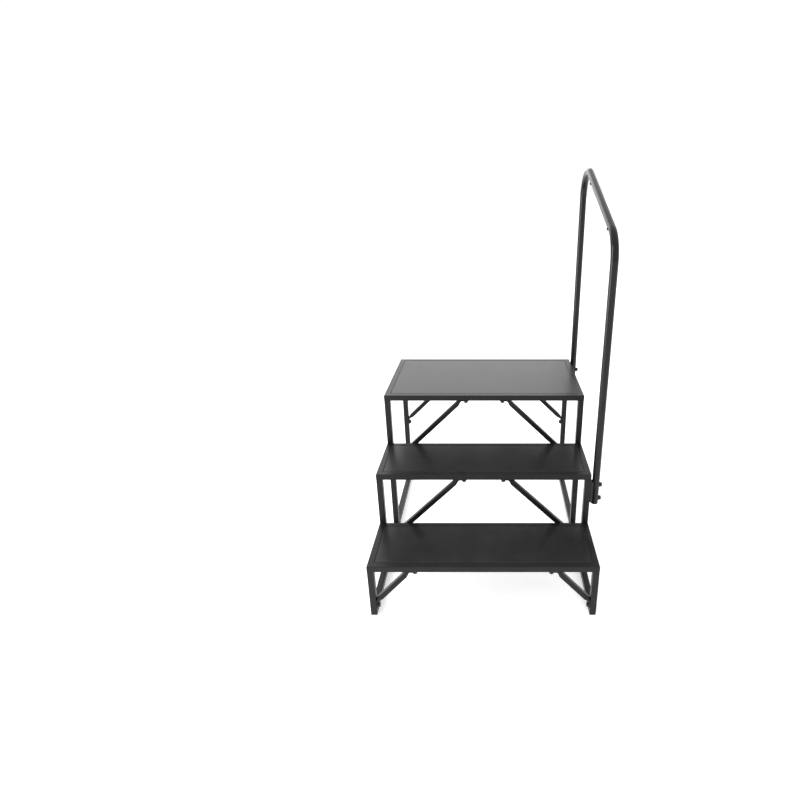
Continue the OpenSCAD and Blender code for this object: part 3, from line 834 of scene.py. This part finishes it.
post_ends = {}
corners = {}
for post, upright, tier, rise in (
    ("front", "middle", "middle", FRONT_CORNER_RISE),
    ("rear", "rear", "upper", REAR_CORNER_RISE),
):
    low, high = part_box(f"handrail_{post}_post")
    leg_low, leg_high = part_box(f"leg_{upright}_right")
    post_x = (low.x + high.x) / 2
    leg_y = (leg_low.y + leg_high.y) / 2
    post_ends[post] = Vector((post_x, leg_y, low.z))
    corners[post] = Vector((post_x, leg_y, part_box(f"tread_{tier}_panel")[1].z + rise))
post_low, post_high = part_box("handrail_front_post")
rail_radius = (post_high.x - post_low.x) / 2
rail_way = (corners["rear"] - corners["front"]).normalized()
slope = math.atan2(rail_way.z, rail_way.y)


def tube_ring(name, place, along):
    """A new open ring of the handrail's size, left in edit mode, all selected."""
    bpy.ops.object.select_all(action="DESELECT")
    turn = along.to_track_quat("Z", "Y").to_euler()
    bpy.ops.mesh.primitive_circle_add(
        vertices=ROUND_SIDES, radius=rail_radius, location=place, rotation=turn
    )
    piece = bpy.context.object
    piece.name = name
    bpy.ops.object.transform_apply(location=True, rotation=True, scale=True)
    bpy.ops.object.mode_set(mode="EDIT")
    bpy.ops.mesh.select_all(action="SELECT")
    return piece


def tube_walled(piece):
    """Closes a ring's swept skin into a tube with a wall and rounded rims."""
    bpy.ops.mesh.select_all(action="SELECT")
    bpy.ops.mesh.remove_doubles(threshold=TINY)
    bpy.ops.mesh.normals_make_consistent(inside=False)
    thicken(piece, RAIL_WALL)
    soften(piece, RAIL_RIM)


def bent_post(name, post, turn, arm):
    """A post from its bottom end up, round its bend by an angle and on along its arm."""
    sense = 1 if turn > 0 else -1
    tangent = BEND_RADIUS * math.tan(abs(turn) / 2)
    bend_foot = corners[post] - tangent * UP
    centre = bend_foot + Vector((0, sense * BEND_RADIUS, 0))
    along_arm = Vector((0, math.sin(turn), math.cos(turn)))
    piece = tube_ring(name, post_ends[post], UP)
    drawn_out(bend_foot - post_ends[post])
    bpy.ops.mesh.spin(steps=BEND_STEPS, angle=turn, center=centre, axis=(1, 0, 0))
    drawn_out(arm * along_arm)
    tube_walled(piece)
    return piece


front_turn = math.pi / 2 - slope
rear_turn = -(math.pi / 2 + slope)
front_joint = corners["front"] + (BEND_RADIUS * math.tan(front_turn / 2) + FRONT_ARM) * rail_way
rear_joint = corners["rear"] - (BEND_RADIUS * math.tan(-rear_turn / 2) + REAR_ARM) * rail_way
front_post = bent_post("front_handrail_post", "front", front_turn, FRONT_ARM)
rear_post = bent_post("rear_handrail_post", "rear", rear_turn, REAR_ARM)
top_rail = tube_ring("sloping_handrail", front_joint, rail_way)
drawn_out(rear_joint - front_joint)
tube_walled(top_rail)

post_bolts = {}
for post, upright, piece in (("front", "middle", front_post), ("rear", "rear", rear_post)):
    leg_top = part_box(f"leg_{upright}_right")[1].z
    heights = (leg_top - POST_BOLT_DROP, leg_top - POST_BOLT_DROP - POST_BOLT_STEP)
    post_bolts[post] = [Vector((post_ends[post].x, post_ends[post].y, z)) for z in heights]
    for place in post_bolts[post]:
        bored(piece, place, (1, 0, 0), BOLT_HOLE, 4 * rail_radius)

rail_side = Vector((-1, 0, 0))
rail_under = rail_side.cross(rail_way)
screw_out = math.cos(SCREW_TILT) * rail_side + math.sin(SCREW_TILT) * rail_under
screw_places = {
    "front": front_joint - SCREW_BACK * rail_way,
    "rear": rear_joint + SCREW_BACK * rail_way,
}
for post, piece in (("front", front_post), ("rear", rear_post)):
    bored(piece, screw_places[post] + rail_radius * screw_out, screw_out, SCREW_HOLE, rail_radius)
    fit(piece, rail_coat, "black_handrail", f"handrail_{post}_post")
fit(top_rail, rail_coat, "black_handrail", "handrail_top_rail")

# The button screws that lock the rail's sleeves. Each has a low domed head with a hexagon
# recess, oxidised black, and its shank goes through the tube into the sleeve.
SCREW_HEAD_WIDE = 0.009
SCREW_HEAD = 0.003
SCREW_DOME = 0.0026
SCREW_KEY = 0.00375
SCREW_SHANK = 0.0041

bpy.ops.object.select_all(action="DESELECT")
bpy.ops.mesh.primitive_cylinder_add(
    vertices=ROUND_SIDES, radius=SCREW_HEAD_WIDE / 2, depth=SCREW_HEAD, location=(0, 0, -SCREW_HEAD / 2)
)
screw = bpy.context.object
screw.name = "screw_model"
bpy.ops.object.transform_apply(location=True, rotation=True, scale=True)
bpy.ops.object.mode_set(mode="EDIT")
pick(screw, "EDGE", lambda mid, run: mid.z < TINY - SCREW_HEAD)
bpy.ops.mesh.bevel(offset=SCREW_DOME, segments=6, profile=0.5)
pick(screw, "FACE", lambda mid, out: out.z > LINED_UP)
bpy.ops.mesh.inset(thickness=(SCREW_HEAD_WIDE - SCREW_THREAD) / 2)
drawn_out((0, 0, SCREW_SHANK))
bpy.ops.object.mode_set(mode="OBJECT")
bpy.ops.object.select_all(action="DESELECT")
bpy.ops.mesh.primitive_cylinder_add(
    vertices=HEX_SIDES, radius=SCREW_KEY / 2, depth=SCREW_HEAD, location=(0, 0, -SCREW_HEAD)
)
merged(screw, bpy.context.object, "DIFFERENCE")
for post, place in screw_places.items():
    stud = copied(screw, f"{post}_rail_screw", place + rail_radius * screw_out, -screw_out)
    fit(stud, bolt_finish, "black_bolts", "handrail_screws")
bpy.data.objects.remove(screw)

# The saddles between the round posts and the square legs. Each is a moulded bar hollowed to the
# post, so that the two bolts can draw the post up tight without crushing it.
SADDLE_ROUND = 0.0012

bar_low, bar_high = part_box("handrail_saddles")
leg_low, leg_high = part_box("leg_rear_right")
saddle_half = (leg_high.y - leg_low.y) / 2
saddle_end = min(place.z for place in post_bolts["front"]) - bar_low.z
top, bottom = post_bolts["front"]
saddle = block(
    "saddle_model",
    Vector((bar_low.x, bottom.y - saddle_half, bottom.z - saddle_end)),
    Vector((bar_high.x, top.y + saddle_half, top.z + saddle_end)),
)
bpy.ops.object.mode_set(mode="OBJECT")
bored(saddle, bottom, UP, 2 * rail_radius, 4 * POST_BOLT_STEP)
soften(saddle, SADDLE_ROUND, 4)
for place in (top, bottom):
    bored(saddle, place, (1, 0, 0), BOLT_HOLE, 4 * rail_radius)
for post, places in post_bolts.items():
    bar = copied(saddle, f"{post}_post_saddle", places[1] - bottom)
    fit(bar, cap_plastic, "black_plastic", "handrail_saddles")
bpy.data.objects.remove(saddle)

# The handrail's bolts. Each goes through a square washer shaped to the post, the post and the
# saddle, into a rivet nut in the leg.
PAD_WIDE = 0.012
PAD_ROUND = 0.0008
PAD_SPARE = 0.001

pad_low, pad_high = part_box("handrail_washers")
bolt_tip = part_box("handrail_bolts")[0]
long_bolt = bolt_model("long_bolt_model", pad_high.x - bolt_tip.x)
pad = block(
    "shaped_washer_model",
    Vector((pad_low.x - PAD_SPARE, top.y - PAD_WIDE / 2, top.z - PAD_WIDE / 2)),
    Vector((pad_high.x, top.y + PAD_WIDE / 2, top.z + PAD_WIDE / 2)),
)
bpy.ops.object.mode_set(mode="OBJECT")
bored(pad, top, UP, 2 * rail_radius, 4 * PAD_WIDE)
soften(pad, PAD_ROUND, 4)
bored(pad, top, (1, 0, 0), BOLT_HOLE, 4 * rail_radius)
for post, places in post_bolts.items():
    for level, place in zip(("upper", "lower"), places):
        shoe = copied(pad, f"{post}_{level}_shaped_washer", place - top)
        fit(shoe, cap_plastic, "black_plastic", "handrail_washers")
        seat = Vector((pad_high.x, place.y, place.z))
        stud = copied(long_bolt, f"{post}_{level}_handrail_bolt", seat, rail_side)
        fit(stud, bolt_finish, "black_bolts", "handrail_bolts")
bpy.data.objects.remove(long_bolt)
bpy.data.objects.remove(pad)

# The caps in the bottom ends of the posts. Each is moulded in black plastic, a disc with a
# rounded rim and a hollow plug that grips the bore.
CAP_THICK = 0.003
CAP_ROUND = 0.0015
CAP_PLUG = 0.005
CAP_GAP = 0.0001

bpy.ops.object.select_all(action="DESELECT")
bpy.ops.mesh.primitive_cylinder_add(
    vertices=ROUND_SIDES, radius=rail_radius, depth=CAP_THICK, location=(0, 0, -CAP_THICK / 2)
)
disc = bpy.context.object
disc.name = "post_cap_model"
bpy.ops.object.transform_apply(location=True, rotation=True, scale=True)
bpy.ops.object.mode_set(mode="EDIT")
pick(disc, "FACE", lambda mid, out: out.z > LINED_UP)
bpy.ops.mesh.inset(thickness=RAIL_WALL + CAP_GAP)
drawn_out((0, 0, CAP_PLUG))
bpy.ops.mesh.inset(thickness=PLUG_WALL)
drawn_out((0, 0, -CAP_PLUG))
pick(disc, "EDGE", lambda mid, run: mid.z < TINY - CAP_THICK)
bpy.ops.mesh.bevel(offset=CAP_ROUND, segments=4, profile=0.5)
bpy.ops.object.mode_set(mode="OBJECT")
for post, end in post_ends.items():
    cap = copied(disc, f"{post}_post_cap", end)
    fit(cap, cap_plastic, "black_plastic", "handrail_end_caps")
bpy.data.objects.remove(disc)
